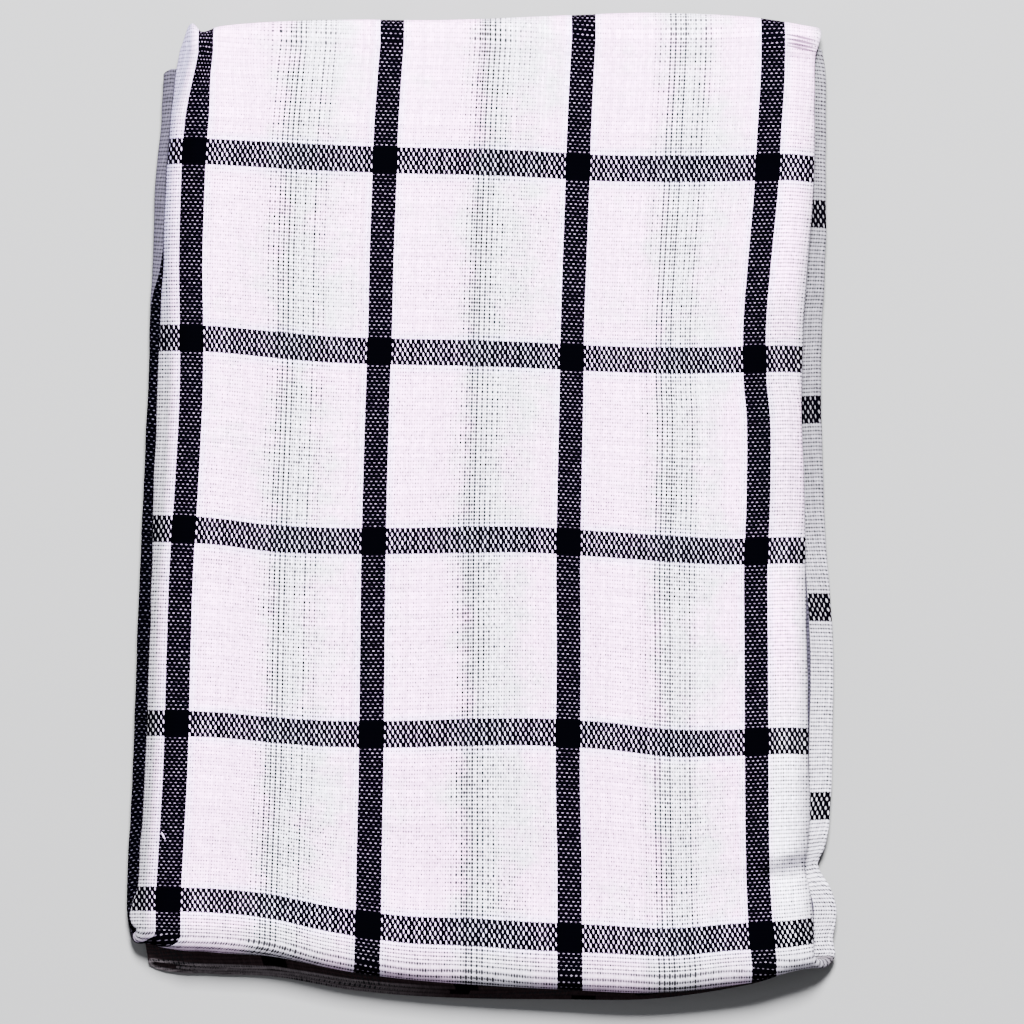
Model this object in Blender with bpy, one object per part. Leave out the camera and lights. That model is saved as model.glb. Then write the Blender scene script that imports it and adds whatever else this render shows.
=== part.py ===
"""Folded cotton tea towel with a woven window-pane check.

The towel is one rectangle of cloth with hemmed ends. It is folded in thirds across its
width, into a strip of three layers, and the strip is folded in thirds along its length.
It lies flat with the middle of the cloth on top: nine layers, a little apart.

Sizes are in millimetres and the finished mesh is in metres, +Z up. The origin is at the
middle of the underside. +X is the right side of the folded towel, +Y is its far end.
"""
import math
from collections import namedtuple

import bmesh
import bpy

METRES_PER_MM = 0.001

# The cloth and how its layers are stacked
CLOTH_THICKNESS = 1.0
LAYER_PITCH = 1.4
LAYERS_IN_STRIP = 3
STRIP_PITCH = LAYERS_IN_STRIP * LAYER_PITCH
HALF_CLOTH = CLOTH_THICKNESS / 2

# Middle heights of the three strips: the one on the table, the one tucked between, the top
UNDER_HEIGHT = LAYER_PITCH + HALF_CLOTH
INNER_HEIGHT = UNDER_HEIGHT + STRIP_PITCH
TOP_HEIGHT = INNER_HEIGHT + STRIP_PITCH
STACK_HEIGHT = TOP_HEIGHT + LAYER_PITCH + HALF_CLOTH

# The two folds across the strip: a tight one at the near end, a wide one at the far end
NEAR_TURN_RADIUS = (TOP_HEIGHT - INNER_HEIGHT) / 2
FAR_TURN_RADIUS = (TOP_HEIGHT - UNDER_HEIGHT) / 2
NEAR_FOLD_EDGE = -107.0
FAR_FOLD_EDGE = 111.5
NEAR_TURN_START = NEAR_FOLD_EDGE + NEAR_TURN_RADIUS + LAYER_PITCH + HALF_CLOTH
FAR_TURN_START = FAR_FOLD_EDGE - FAR_TURN_RADIUS - LAYER_PITCH - HALF_CLOTH

# The two hemmed ends of the cloth lie a little askew: place at the middle, slope, and how far
# each layer ends short of the next
INNER_END = 101.8
INNER_END_SLOPE = 0.031
INNER_END_STAGGER = 0.8
UNDER_END = -109.0
UNDER_END_SLOPE = 0.040
UNDER_END_STAGGER = 0.9

# The long folds of the strip, and how far each woven edge stops short of the far fold
LEFT_TURN_RADIUS = LAYER_PITCH
RIGHT_TURN_RADIUS = LAYER_PITCH / 2
LEFT_FLAP_SHORT = 5.0
RIGHT_FLAP_SHORT = 6.0

# The strip on the table lies in from the inner strip's left edge and the top's right edge
UNDER_INSET_LEFT = 3.5
UNDER_INSET_RIGHT = 1.0

# Left and right edges of the top strip and of the inner strip, along the length
Side = namedtuple("Side", "y top_left top_right inner_left inner_right")
SIDES = (
    Side(111.6, -68.9, 78.1, -74.2, 77.9),
    Side(104.7, -70.3, 76.4, -74.0, 77.9),
    Side(98.9, -71.3, 76.0, -74.2, 78.7),
    Side(78.4, -73.3, 76.0, -76.0, 78.8),
    Side(60.8, -73.9, 74.9, -76.6, 78.9),
    Side(40.0, -74.8, 73.3, -77.4, 77.9),
    Side(19.3, -75.6, 73.0, -78.1, 77.7),
    Side(-8.4, -76.5, 73.7, -79.3, 78.6),
    Side(-31.5, -77.1, 73.9, -80.2, 80.4),
    Side(-54.6, -77.8, 74.4, -80.9, 80.2),
    Side(-72.8, -78.6, 74.7, -81.5, 79.5),
    Side(-83.7, -79.2, 73.7, -82.1, 77.1),
    Side(-92.7, -79.6, 75.1, -82.5, 81.1),
    Side(-99.6, -80.1, 75.6, -82.3, 80.5),
    Side(-105.4, -75.4, 75.6, -81.4, 81.4),
    Side(-111.1, -74.5, 74.2, -80.5, 80.2),
)

# How far the near fold and the far fold bow away from a straight line, across the width
Bow = namedtuple("Bow", "x near far")
BOWS = (
    Bow(-84.0, 1.5, -2.5),
    Bow(-78.5, 3.6, -2.4),
    Bow(-73.7, 5.2, -2.0),
    Bow(-68.4, 4.9, -1.6),
    Bow(-48.8, 2.6, -0.5),
    Bow(-29.9, -1.4, 0.0),
    Bow(-9.3, -3.7, 0.3),
    Bow(19.0, -5.3, 1.4),
    Bow(39.4, -6.0, 1.9),
    Bow(61.5, -3.7, 0.8),
    Bow(74.2, -0.5, -1.5),
    Bow(82.0, 1.4, -2.4),
)
NEAR_BOW_FADES_AT = -15.0
NEAR_BOW_POWER = 1.6
FAR_BOW_FADES_AT = 30.0
FAR_BOW_POWER = 1.2

# Soft ridges and troughs: middle, half length and half width, direction, and rise
Wave = namedtuple("Wave", "x y half_length half_width turn_degrees rise")
WAVES = (
    Wave(66.0, 24.0, 17.0, 7.0, 62.0, -1.1),
    Wave(74.0, -83.7, 13.0, 2.6, 4.0, -1.5),
    Wave(77.0, -93.5, 8.0, 6.5, 0.0, 0.9),
    Wave(73.0, 105.0, 9.0, 3.0, -16.0, -0.6),
    Wave(-77.0, -97.0, 6.0, 4.0, 60.0, 0.7),
    Wave(-66.0, 104.0, 9.0, 4.0, 70.0, 0.7),
    Wave(-52.0, -60.0, 46.0, 13.0, 86.0, -0.5),
    Wave(-8.0, 40.0, 60.0, 17.0, 92.0, 0.5),
    Wave(36.0, -45.0, 42.0, 12.0, 80.0, 0.5),
    Wave(30.0, 78.0, 38.0, 13.0, 8.0, -0.5),
    Wave(18.0, -100.0, 46.0, 7.0, -3.0, 0.7),
    Wave(-58.0, 52.0, 34.0, 9.0, 96.0, 0.4),
)

# How finely the cloth is divided: steps in each part across, and millimetres along
ACROSS_STEPS = (
    ("left_flap", 5),
    ("left_turn", 6),
    ("panel", 9),
    ("right_turn", 4),
    ("right_flap", 5),
)
TOP_ROW_STEP = 11.0
INNER_ROW_STEP = 13.0
UNDER_ROW_STEP = 24.0
NEAR_TURN_STEPS = 6
FAR_TURN_STEPS = 8
PINCH_ROWS = (-79.5, -83.7, -88.0, -93.0, -99.6)
CLOSEST_ROWS = 1 / 3  # a row this share of a step from a pinched row is left out
GRID_SIDE = 1.0
HALF_GRID = GRID_SIDE / 2

# Cotton: an off-white with a little lavender in it
COTTON_COLOUR = (0.86, 0.82, 0.87, 1.0)
COTTON_ROUGHNESS = 0.9


def blend(start, end, share):
    """The value a share of the way from start to end."""
    return start + (end - start) * share


def ease(share):
    """A share from 0 to 1 that starts and stops gently."""
    return share * share * (3 - 2 * share)


def smooth_curve(rows, column, along):
    """A function that runs smoothly through one column of a table."""
    points = sorted((getattr(row, along), getattr(row, column)) for row in rows)
    slopes = []
    for i in range(len(points)):
        before = points[max(i - 1, 0)]
        after = points[min(i + 1, len(points) - 1)]
        slopes.append((after[1] - before[1]) / (after[0] - before[0]))

    def value(place):
        place = min(max(place, points[0][0]), points[-1][0])
        i = 0
        while place > points[i + 1][0]:
            i += 1
        span = points[i + 1][0] - points[i][0]
        share = (place - points[i][0]) / span
        rise = ease(share)
        lead = share * (1 - share) ** 2 * slopes[i]
        trail = share ** 2 * (share - 1) * slopes[i + 1]
        return blend(points[i][1], points[i + 1][1], rise) + span * (lead + trail)

    return value


top_left = smooth_curve(SIDES, "top_left", "y")
top_right = smooth_curve(SIDES, "top_right", "y")
inner_left = smooth_curve(SIDES, "inner_left", "y")
inner_right = smooth_curve(SIDES, "inner_right", "y")
near_bow = smooth_curve(BOWS, "near", "x")
far_bow = smooth_curve(BOWS, "far", "x")


def under_left(y):
    """Left edge of the strip that lies on the table."""
    return inner_left(y) + UNDER_INSET_LEFT


def under_right(y):
    """Right edge of the strip that lies on the table."""
    return top_right(y) - UNDER_INSET_RIGHT


def strip_edges(part, share):
    """Left and right edges of the strip at one place along the cloth."""
    if part == "inner":
        y = blend(INNER_END, NEAR_TURN_START, share)
        return inner_left(y), inner_right(y)
    if part == "near_turn":
        left = blend(inner_left(NEAR_TURN_START), top_left(NEAR_TURN_START), ease(share))
        right = blend(inner_right(NEAR_TURN_START), top_right(NEAR_TURN_START), ease(share))
        return left, right
    if part == "top":
        y = blend(NEAR_TURN_START, FAR_TURN_START, share)
        return top_left(y), top_right(y)
    if part == "far_turn":
        left = blend(top_left(FAR_TURN_START), under_left(FAR_TURN_START), ease(share))
        right = blend(top_right(FAR_TURN_START), under_right(FAR_TURN_START), ease(share))
        return left, right
    y = blend(FAR_TURN_START, UNDER_END, share)
    return under_left(y), under_right(y)


def round_turn(centre_a, centre_b, radius, angle):
    """A point on a fold's arc, and the way its outer side faces."""
    face_a = math.cos(angle)
    face_b = math.sin(angle)
    return centre_a + radius * face_a, centre_b + radius * face_b, face_a, face_b


def across_strip(part, share, left, right):
    """A point of the three-layer strip, seen end on: x, height in the strip, and facing."""
    left_centre = left + LEFT_TURN_RADIUS
    right_centre = right - RIGHT_TURN_RADIUS
    if part == "left_flap":
        return blend(right - LEFT_FLAP_SHORT, left_centre, share), -LAYER_PITCH, 0.0, -1.0
    if part == "left_turn":
        angle = math.pi * (1.5 - share)
        return round_turn(left_centre, 0.0, LEFT_TURN_RADIUS, angle)
    if part == "panel":
        return blend(left_centre, right_centre, share), LAYER_PITCH, 0.0, 1.0
    if part == "right_turn":
        angle = math.pi * (0.5 - share)
        return round_turn(right_centre, RIGHT_TURN_RADIUS, RIGHT_TURN_RADIUS, angle)
    return blend(right_centre, left + RIGHT_FLAP_SHORT, share), 0.0, 0.0, -1.0


def along_stack(part, share, x, height):
    """A point of the strip's middle, seen from the side: y, height, and facing."""
    layer = height / LAYER_PITCH
    if part == "inner":
        end = INNER_END + INNER_END_SLOPE * x - INNER_END_STAGGER * layer
        return blend(end, NEAR_TURN_START, share), INNER_HEIGHT, 0.0, -1.0
    if part == "near_turn":
        centre_height = INNER_HEIGHT + NEAR_TURN_RADIUS
        angle = math.pi * (1.5 - share)
        return round_turn(NEAR_TURN_START, centre_height, NEAR_TURN_RADIUS, angle)
    if part == "top":
        return blend(NEAR_TURN_START, FAR_TURN_START, share), TOP_HEIGHT, 0.0, 1.0
    if part == "far_turn":
        centre_height = UNDER_HEIGHT + FAR_TURN_RADIUS
        angle = math.pi * (0.5 - share)
        return round_turn(FAR_TURN_START, centre_height, FAR_TURN_RADIUS, angle)
    end = UNDER_END + UNDER_END_SLOPE * x - UNDER_END_STAGGER * layer
    return blend(FAR_TURN_START, end, share), UNDER_HEIGHT, 0.0, -1.0


def bowed(x, y):
    """Where a point's y goes when both folds bow out of line."""
    near_share = max(NEAR_BOW_FADES_AT - y, 0) / (NEAR_BOW_FADES_AT - NEAR_FOLD_EDGE)
    far_share = max(y - FAR_BOW_FADES_AT, 0) / (FAR_FOLD_EDGE - FAR_BOW_FADES_AT)
    near_move = near_bow(x) * near_share ** NEAR_BOW_POWER
    far_move = far_bow(x) * far_share ** FAR_BOW_POWER
    return y + near_move + far_move


def surface_rise(x, y):
    """How far the soft ridges and troughs lift the top of the stack."""
    rise = 0.0
    for wave in WAVES:
        turn = math.radians(wave.turn_degrees)
        along = (x - wave.x) * math.cos(turn) + (y - wave.y) * math.sin(turn)
        across = (y - wave.y) * math.cos(turn) - (x - wave.x) * math.sin(turn)
        spread = (along / wave.half_length) ** 2 + (across / wave.half_width) ** 2
        rise += wave.rise * math.exp(-spread)
    return rise


def folded_place(row, column, lift):
    """Where a point of the flat cloth lies once the towel is folded."""
    left, right = strip_edges(*row)
    x, height, face_x, face_height = across_strip(*column, left, right)
    y, z, face_y, face_z = along_stack(*row, x, height)
    x += lift * face_x
    height += lift * face_height
    y += height * face_y
    z += height * face_z
    y = bowed(x, y)
    above_table_layer = max(z - CLOTH_THICKNESS, 0) / (STACK_HEIGHT - CLOTH_THICKNESS)
    z += surface_rise(x, y) * ease(above_table_layer)
    return x, y, z


def steps_in(part, count):
    """Even stations in one part of the cloth, without its first one."""
    return [(part, (i + 1) / count) for i in range(count)]


def rows_in(part, start, end, step):
    """Stations about a step apart from start to end, and one on each pinched row between."""
    count = round(abs(end - start) / step)
    shares = {(i + 1) / count for i in range(count)}
    for y in PINCH_ROWS:
        pinched = (y - start) / (end - start)
        shares = {share for share in shares if abs(share - pinched) * count > CLOSEST_ROWS}
        shares.add(pinched)
    return [(part, share) for share in sorted(shares | {1.0})]


def rows_along():
    """All stations along the cloth, from the inner end to the end on the table."""
    rows = [("inner", 0.0)]
    rows += rows_in("inner", INNER_END, NEAR_TURN_START, INNER_ROW_STEP)
    rows += steps_in("near_turn", NEAR_TURN_STEPS)
    rows += rows_in("top", NEAR_TURN_START, FAR_TURN_START, TOP_ROW_STEP)
    rows += steps_in("far_turn", FAR_TURN_STEPS)
    under_count = round((FAR_TURN_START - UNDER_END) / UNDER_ROW_STEP)
    rows += steps_in("under", under_count)
    return rows


def columns_across():
    """All stations across the cloth, from its left woven edge to its right one."""
    columns = [(ACROSS_STEPS[0][0], 0.0)]
    for part, count in ACROSS_STEPS:
        columns += steps_in(part, count)
    return columns


def cotton():
    """Matt off-white cotton."""
    material = bpy.data.materials.new("cotton")
    material.use_nodes = True
    shader = material.node_tree.nodes["Principled BSDF"]
    shader.inputs["Base Color"].default_value = COTTON_COLOUR
    shader.inputs["Roughness"].default_value = COTTON_ROUGHNESS
    shader.inputs["Metallic"].default_value = 0.0
    return material


def to_middle(bm):
    """The move that puts the middle of the towel's outline over the origin."""
    xs = [vert.co.x for vert in bm.verts]
    ys = [vert.co.y for vert in bm.verts]
    return -(min(xs) + max(xs)) / 2, -(min(ys) + max(ys)) / 2, 0.0


def folded_towel():
    """The flat cloth as a divided sheet with its thickness, then every point folded in place."""
    rows = rows_along()
    columns = columns_across()
    column_count = len(columns) - 1
    row_count = len(rows) - 1
    bm = bmesh.new()
    bmesh.ops.create_grid(bm, x_segments=column_count, y_segments=row_count, size=HALF_GRID)
    bmesh.ops.solidify(bm, geom=bm.faces[:], thickness=CLOTH_THICKNESS)
    lowest = min(vert.co.z for vert in bm.verts)
    for vert in bm.verts:
        column = columns[round((vert.co.x + HALF_GRID) * column_count)]
        row = rows[round((vert.co.y + HALF_GRID) * row_count)]
        lift = vert.co.z - lowest - HALF_CLOTH
        x, y, z = folded_place(row, column, lift)
        vert.co = (x * METRES_PER_MM, y * METRES_PER_MM, z * METRES_PER_MM)
    bmesh.ops.recalc_face_normals(bm, faces=bm.faces[:])
    bmesh.ops.translate(bm, verts=bm.verts[:], vec=to_middle(bm))
    mesh = bpy.data.meshes.new("towel")
    bm.to_mesh(mesh)
    bm.free()
    mesh.shade_smooth()
    towel = bpy.data.objects.new("towel", mesh)
    bpy.context.scene.collection.objects.link(towel)
    mesh.materials.append(cotton())
    return towel


for old_object in list(bpy.data.objects):
    bpy.data.objects.remove(old_object)
folded_towel()
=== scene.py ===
# %% [markdown]
# # A folded tea towel
#
# The towel is one rectangle of plain-woven cotton, white with a dark window-pane check. It is
# folded in thirds across its width, then in thirds along its length, and it lies flat with its
# middle on top. We build the flat cloth first and fold it point by point, because a fold that
# is worked out this way keeps the cloth's own size, and the weave can follow the cloth round
# every turn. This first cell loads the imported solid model, which fixes place and size.

# %% Load the frame
import functools
import math
from collections import namedtuple

import bmesh
import bpy
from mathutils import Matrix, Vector, noise


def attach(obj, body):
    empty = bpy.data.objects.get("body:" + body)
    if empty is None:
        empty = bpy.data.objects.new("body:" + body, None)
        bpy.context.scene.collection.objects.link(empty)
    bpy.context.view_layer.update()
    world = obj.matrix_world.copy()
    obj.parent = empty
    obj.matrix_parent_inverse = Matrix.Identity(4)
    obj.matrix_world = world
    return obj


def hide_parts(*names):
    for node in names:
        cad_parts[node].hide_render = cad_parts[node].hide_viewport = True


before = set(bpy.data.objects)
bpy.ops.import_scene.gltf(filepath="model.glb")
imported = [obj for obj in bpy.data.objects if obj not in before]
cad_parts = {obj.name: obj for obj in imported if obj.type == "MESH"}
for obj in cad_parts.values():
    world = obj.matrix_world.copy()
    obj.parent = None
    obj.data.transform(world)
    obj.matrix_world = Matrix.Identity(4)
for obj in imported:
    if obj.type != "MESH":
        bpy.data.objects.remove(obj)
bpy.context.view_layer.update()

METRES_PER_MM = 0.001

# %% [markdown]
# ## The folds in numbers
#
# Sizes are in millimetres, in a drawing that looks straight down on the towel, with x to the
# right and y away from us. The drawing's middle is then moved over the origin. The heights say
# where the three strips lie: one on the table, one tucked between, one on top. The turn
# radii follow from those heights, so a fold always fits round the layers that it holds.

# %% Heights, turns and ends
DRAWING_MIDDLE = (-0.674, -0.683)

CLOTH_THICKNESS = 0.8
HEM_THICKNESS = 1.0
HEM_WIDTH = 9.0
SOLID_CLOTH_THICKNESS = 1.0
LAYER_PITCH = 1.4
STRIP_PITCH = 3 * LAYER_PITCH

UNDER_HEIGHT = LAYER_PITCH + SOLID_CLOTH_THICKNESS / 2
INNER_HEIGHT = UNDER_HEIGHT + STRIP_PITCH
TOP_HEIGHT = INNER_HEIGHT + STRIP_PITCH
STACK_HEIGHT = TOP_HEIGHT + LAYER_PITCH + SOLID_CLOTH_THICKNESS / 2

NEAR_TURN_RADIUS = (TOP_HEIGHT - INNER_HEIGHT) / 2
FAR_TURN_RADIUS = (TOP_HEIGHT - UNDER_HEIGHT) / 2
NEAR_FOLD_EDGE = -107.0
FAR_FOLD_EDGE = 111.5
NEAR_TURN_START = NEAR_FOLD_EDGE + NEAR_TURN_RADIUS + LAYER_PITCH + SOLID_CLOTH_THICKNESS / 2
FAR_TURN_START = FAR_FOLD_EDGE - FAR_TURN_RADIUS - LAYER_PITCH - SOLID_CLOTH_THICKNESS / 2

INNER_END = 103.6
INNER_END_SLOPE = 0.037
INNER_END_STAGGER = 0.8
UNDER_END = -109.0
UNDER_END_SLOPE = 0.040
UNDER_END_STAGGER = 0.9

LEFT_TURN_RADIUS = LAYER_PITCH
RIGHT_TURN_RADIUS = LAYER_PITCH / 2
LEFT_FLAP_SHORT = 5.0
RIGHT_FLAP_SHORT = 6.0
UNDER_INSET_LEFT = 3.5
UNDER_INSET_RIGHT = 1.0
print("stack is", round(STACK_HEIGHT, 2), "mm high")

# %% [markdown]
# ## The uneven outline
#
# No folded towel is a perfect rectangle. These short tables give the left and right edges of
# the top and the inner strip at a few places along the towel, and how far the near and the far
# fold bow out of a straight line. A smooth curve through each column gives every place between.

# %% Outline tables
Side = namedtuple("Side", "y top_left top_right inner_left inner_right")
SIDES = (
    Side(111.6, -68.9, 78.1, -74.2, 77.9),
    Side(104.7, -70.3, 76.4, -74.0, 77.9),
    Side(98.9, -71.3, 76.0, -74.2, 78.7),
    Side(78.4, -73.3, 76.0, -76.0, 78.8),
    Side(60.8, -73.9, 74.9, -76.6, 78.9),
    Side(40.0, -74.8, 73.3, -77.4, 77.9),
    Side(19.3, -75.6, 73.0, -78.1, 77.7),
    Side(-8.4, -76.5, 73.7, -79.3, 78.6),
    Side(-31.5, -77.1, 73.9, -80.2, 80.4),
    Side(-54.6, -77.8, 74.4, -80.9, 80.2),
    Side(-72.8, -78.6, 74.7, -81.5, 79.5),
    Side(-79.5, -79.0, 74.2, -81.9, 78.3),
    Side(-83.2, -79.2, 73.5, -82.1, 76.7),
    Side(-85.7, -79.3, 73.9, -82.2, 77.9),
    Side(-88.4, -79.4, 74.6, -82.3, 79.7),
    Side(-92.7, -79.8, 75.1, -82.5, 81.1),
    Side(-96.5, -81.3, 75.5, -82.5, 80.9),
    Side(-99.6, -81.7, 75.6, -82.3, 80.3),
    Side(-102.0, -80.9, 75.6, -81.9, 80.6),
    Side(-105.4, -78.0, 75.6, -81.4, 81.4),
    Side(-111.1, -75.0, 74.2, -80.5, 80.2),
)

Bow = namedtuple("Bow", "x near far")
BOWS = (
    Bow(-84.0, 4.4, -2.5),
    Bow(-78.5, 5.3, -2.4),
    Bow(-73.7, 4.3, -1.0),
    Bow(-69.6, 3.7, 0.2),
    Bow(-67.6, 3.6, 0.2),
    Bow(-65.6, 3.6, -1.8),
    Bow(-61.5, 3.2, -0.6),
    Bow(-48.8, 2.3, 0.5),
    Bow(-29.9, -1.4, 1.0),
    Bow(-9.3, -3.7, 0.9),
    Bow(19.0, -5.3, 2.0),
    Bow(39.4, -6.0, 2.6),
    Bow(61.5, -3.7, 1.6),
    Bow(74.2, -0.5, -0.2),
    Bow(82.0, -0.9, -1.2),
)
NEAR_BOW_FADES_AT = -15.0
NEAR_BOW_POWER = 1.6
FAR_BOW_FADES_AT = 30.0
FAR_BOW_POWER = 1.2


def blend(start, end, share):
    """The value a share of the way from start to end."""
    return start + (end - start) * share


def ease(share):
    """A share from 0 to 1 that starts and stops gently."""
    return share * share * (3 - 2 * share)


def clamp_share(value):
    """The nearest value from 0 to 1."""
    return min(max(value, 0.0), 1.0)


def smooth_curve(rows, column, along):
    """A function that runs smoothly through one column of a table."""
    points = sorted((getattr(row, along), getattr(row, column)) for row in rows)
    slopes = []
    for i in range(len(points)):
        before = points[max(i - 1, 0)]
        after = points[min(i + 1, len(points) - 1)]
        slopes.append((after[1] - before[1]) / (after[0] - before[0]))

    def value(place):
        place = min(max(place, points[0][0]), points[-1][0])
        i = 0
        while place > points[i + 1][0]:
            i += 1
        span = points[i + 1][0] - points[i][0]
        share = (place - points[i][0]) / span
        lead = share * (1 - share) ** 2 * slopes[i]
        trail = share ** 2 * (share - 1) * slopes[i + 1]
        return blend(points[i][1], points[i + 1][1], ease(share)) + span * (lead + trail)

    return value


top_left = smooth_curve(SIDES, "top_left", "y")
top_right = smooth_curve(SIDES, "top_right", "y")
inner_left = smooth_curve(SIDES, "inner_left", "y")
inner_right = smooth_curve(SIDES, "inner_right", "y")
near_bow = smooth_curve(BOWS, "near", "x")
far_bow = smooth_curve(BOWS, "far", "x")
print("top strip at its middle is", round(top_right(0) - top_left(0), 1), "mm wide")

# %% [markdown]
# ## Folding across the width
#
# Seen end on, the strip is a flattened spiral of three layers. The wide turn on the left goes
# right round the woven edge of the middle layer, and the tight turn on the right doubles the
# cloth straight back. Each point gets its x, its height in the strip, and the way the cloth's
# outer side faces there, so that the sheet can have its thickness on both sides of the fold.

# %% The strip seen end on
FAR_TURN_LEAN = 1.7
EDGE_WANDER = 0.22
EDGE_WANDER_LENGTH = 7.0


def wander(seed, y):
    """A small uneven shift of an edge, different for each seed."""
    return EDGE_WANDER * noise.noise(Vector((seed, y / EDGE_WANDER_LENGTH, seed)))


@functools.cache
def strip_edges(part, share):
    """Left and right edges of the strip at one place along the cloth."""
    if part == "inner":
        y = blend(INNER_END, NEAR_TURN_START, share)
        return inner_left(y) + wander(1.5, y), inner_right(y) + wander(2.5, y)
    if part == "near_turn":
        left = blend(inner_left(NEAR_TURN_START), top_left(NEAR_TURN_START), ease(share))
        right = blend(inner_right(NEAR_TURN_START), top_right(NEAR_TURN_START), ease(share))
        return left, right
    if part == "top":
        y = blend(NEAR_TURN_START, FAR_TURN_START, share)
        return top_left(y) + wander(3.5, y), top_right(y) + wander(4.5, y)
    under_left = inner_left(FAR_TURN_START) + UNDER_INSET_LEFT
    under_right = top_right(FAR_TURN_START) - UNDER_INSET_RIGHT
    if part == "far_turn":
        lean = FAR_TURN_LEAN * math.sin(math.pi * share)
        left = blend(top_left(FAR_TURN_START), under_left, ease(share)) + lean
        right = blend(top_right(FAR_TURN_START), under_right, ease(share)) + lean
        return left, right
    y = blend(FAR_TURN_START, UNDER_END, share)
    return inner_left(y) + UNDER_INSET_LEFT, top_right(y) - UNDER_INSET_RIGHT


def round_turn(centre_a, centre_b, radius, angle):
    """A point on a fold's arc, and the way its outer side faces."""
    face_a = math.cos(angle)
    face_b = math.sin(angle)
    return centre_a + radius * face_a, centre_b + radius * face_b, face_a, face_b


def across_strip(part, share, left, right):
    """A point of the three-layer strip, seen end on: x, height in the strip, and facing."""
    left_centre = left + LEFT_TURN_RADIUS
    right_centre = right - RIGHT_TURN_RADIUS
    if part == "left_flap":
        return blend(right - LEFT_FLAP_SHORT, left_centre, share), -LAYER_PITCH, 0.0, -1.0
    if part == "left_turn":
        angle = math.pi * (1.5 - share)
        return round_turn(left_centre, 0.0, LEFT_TURN_RADIUS, angle)
    if part == "panel":
        return blend(left_centre, right_centre, share), LAYER_PITCH, 0.0, 1.0
    if part == "right_turn":
        angle = math.pi * (0.5 - share)
        return round_turn(right_centre, RIGHT_TURN_RADIUS, RIGHT_TURN_RADIUS, angle)
    return blend(right_centre, left + RIGHT_FLAP_SHORT, share), 0.0, 0.0, -1.0


print("left turn", LEFT_TURN_RADIUS, "mm, right turn", RIGHT_TURN_RADIUS, "mm in radius")

# %% [markdown]
# ## Folding along the length
#
# The strip then runs from its inner end, under the top, round the near fold, over the top,
# round the far fold and back along the table. The two hemmed ends are a little askew, and each
# layer ends a little short of the next, as cloth does when it is folded by hand.

# %% The stack seen from the side
def along_stack(part, share, x, height):
    """A point of the strip's middle, seen from the side: y, height, and facing."""
    layer = height / LAYER_PITCH
    if part == "inner":
        end = INNER_END + INNER_END_SLOPE * x - INNER_END_STAGGER * layer
        return blend(end, NEAR_TURN_START, share), INNER_HEIGHT, 0.0, -1.0
    if part == "near_turn":
        centre_height = INNER_HEIGHT + NEAR_TURN_RADIUS
        angle = math.pi * (1.5 - share)
        return round_turn(NEAR_TURN_START, centre_height, NEAR_TURN_RADIUS, angle)
    if part == "top":
        return blend(NEAR_TURN_START, FAR_TURN_START, share), TOP_HEIGHT, 0.0, 1.0
    if part == "far_turn":
        centre_height = UNDER_HEIGHT + FAR_TURN_RADIUS
        angle = math.pi * (0.5 - share)
        return round_turn(FAR_TURN_START, centre_height, FAR_TURN_RADIUS, angle)
    end = UNDER_END + UNDER_END_SLOPE * x - UNDER_END_STAGGER * layer
    return blend(FAR_TURN_START, end, share), UNDER_HEIGHT, 0.0, -1.0


print("near turn", NEAR_TURN_RADIUS, "mm, far turn", FAR_TURN_RADIUS, "mm in radius")

# %% [markdown]
# ## Bows, waves and ripples
#
# Three things make the folded towel look handled. The folds bow, which slides every layer in
# y by the same amount. Soft ridges and troughs, each a rounded bump with its own direction,
# lift the upper layers and leave the lowest one flat on the table. A faint ripple goes over
# all of it. Towards the left and right folds the whole stack is pressed thinner, so its top
# slopes down there. Because whole stacks move together, no layer can pass through the next.

# %% Unevenness
Wave = namedtuple("Wave", "x y half_length half_width turn_degrees rise")
WAVES = (
    Wave(66.0, 24.0, 17.0, 7.0, 62.0, -1.5),
    Wave(76.0, -84.7, 12.5, 2.3, 8.0, -3.3),
    Wave(70.0, -80.0, 11.0, 2.6, 6.0, 0.9),
    Wave(76.0, -92.5, 7.5, 5.5, 0.0, 1.6),
    Wave(72.5, -96.0, 1.3, 9.0, 4.0, -0.8),
    Wave(73.0, 107.4, 6.0, 0.5, -8.0, 0.9),
    Wave(72.5, 105.9, 7.0, 0.5, -10.0, 0.9),
    Wave(72.0, 104.4, 7.5, 0.5, -12.0, 0.8),
    Wave(73.0, 101.5, 9.0, 2.2, -14.0, -0.8),
    Wave(79.5, 103.5, 2.5, 1.6, 0.0, -3.5),
    Wave(-77.5, -97.5, 4.5, 3.0, 60.0, 1.3),
    Wave(-73.0, -99.5, 2.0, 5.0, 20.0, -1.2),
    Wave(-66.0, 104.0, 9.0, 4.0, 70.0, 0.9),
    Wave(-52.0, -60.0, 46.0, 13.0, 86.0, -0.7),
    Wave(-8.0, 40.0, 60.0, 17.0, 92.0, 0.6),
    Wave(36.0, -45.0, 42.0, 12.0, 80.0, 0.6),
    Wave(30.0, 78.0, 38.0, 13.0, 8.0, -0.6),
    Wave(18.0, -100.0, 46.0, 7.0, -3.0, 0.7),
    Wave(-58.0, 52.0, 34.0, 9.0, 96.0, 0.5),
)
Ripple = namedtuple("Ripple", "length rise")
RIPPLES = (Ripple(21.0, 0.16), Ripple(7.0, 0.05))
Slope = namedtuple("Slope", "reach drop")
LEFT_SLOPE = Slope(10.5, 0.52)
RIGHT_SLOPE = Slope(9.0, 0.45)


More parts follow.
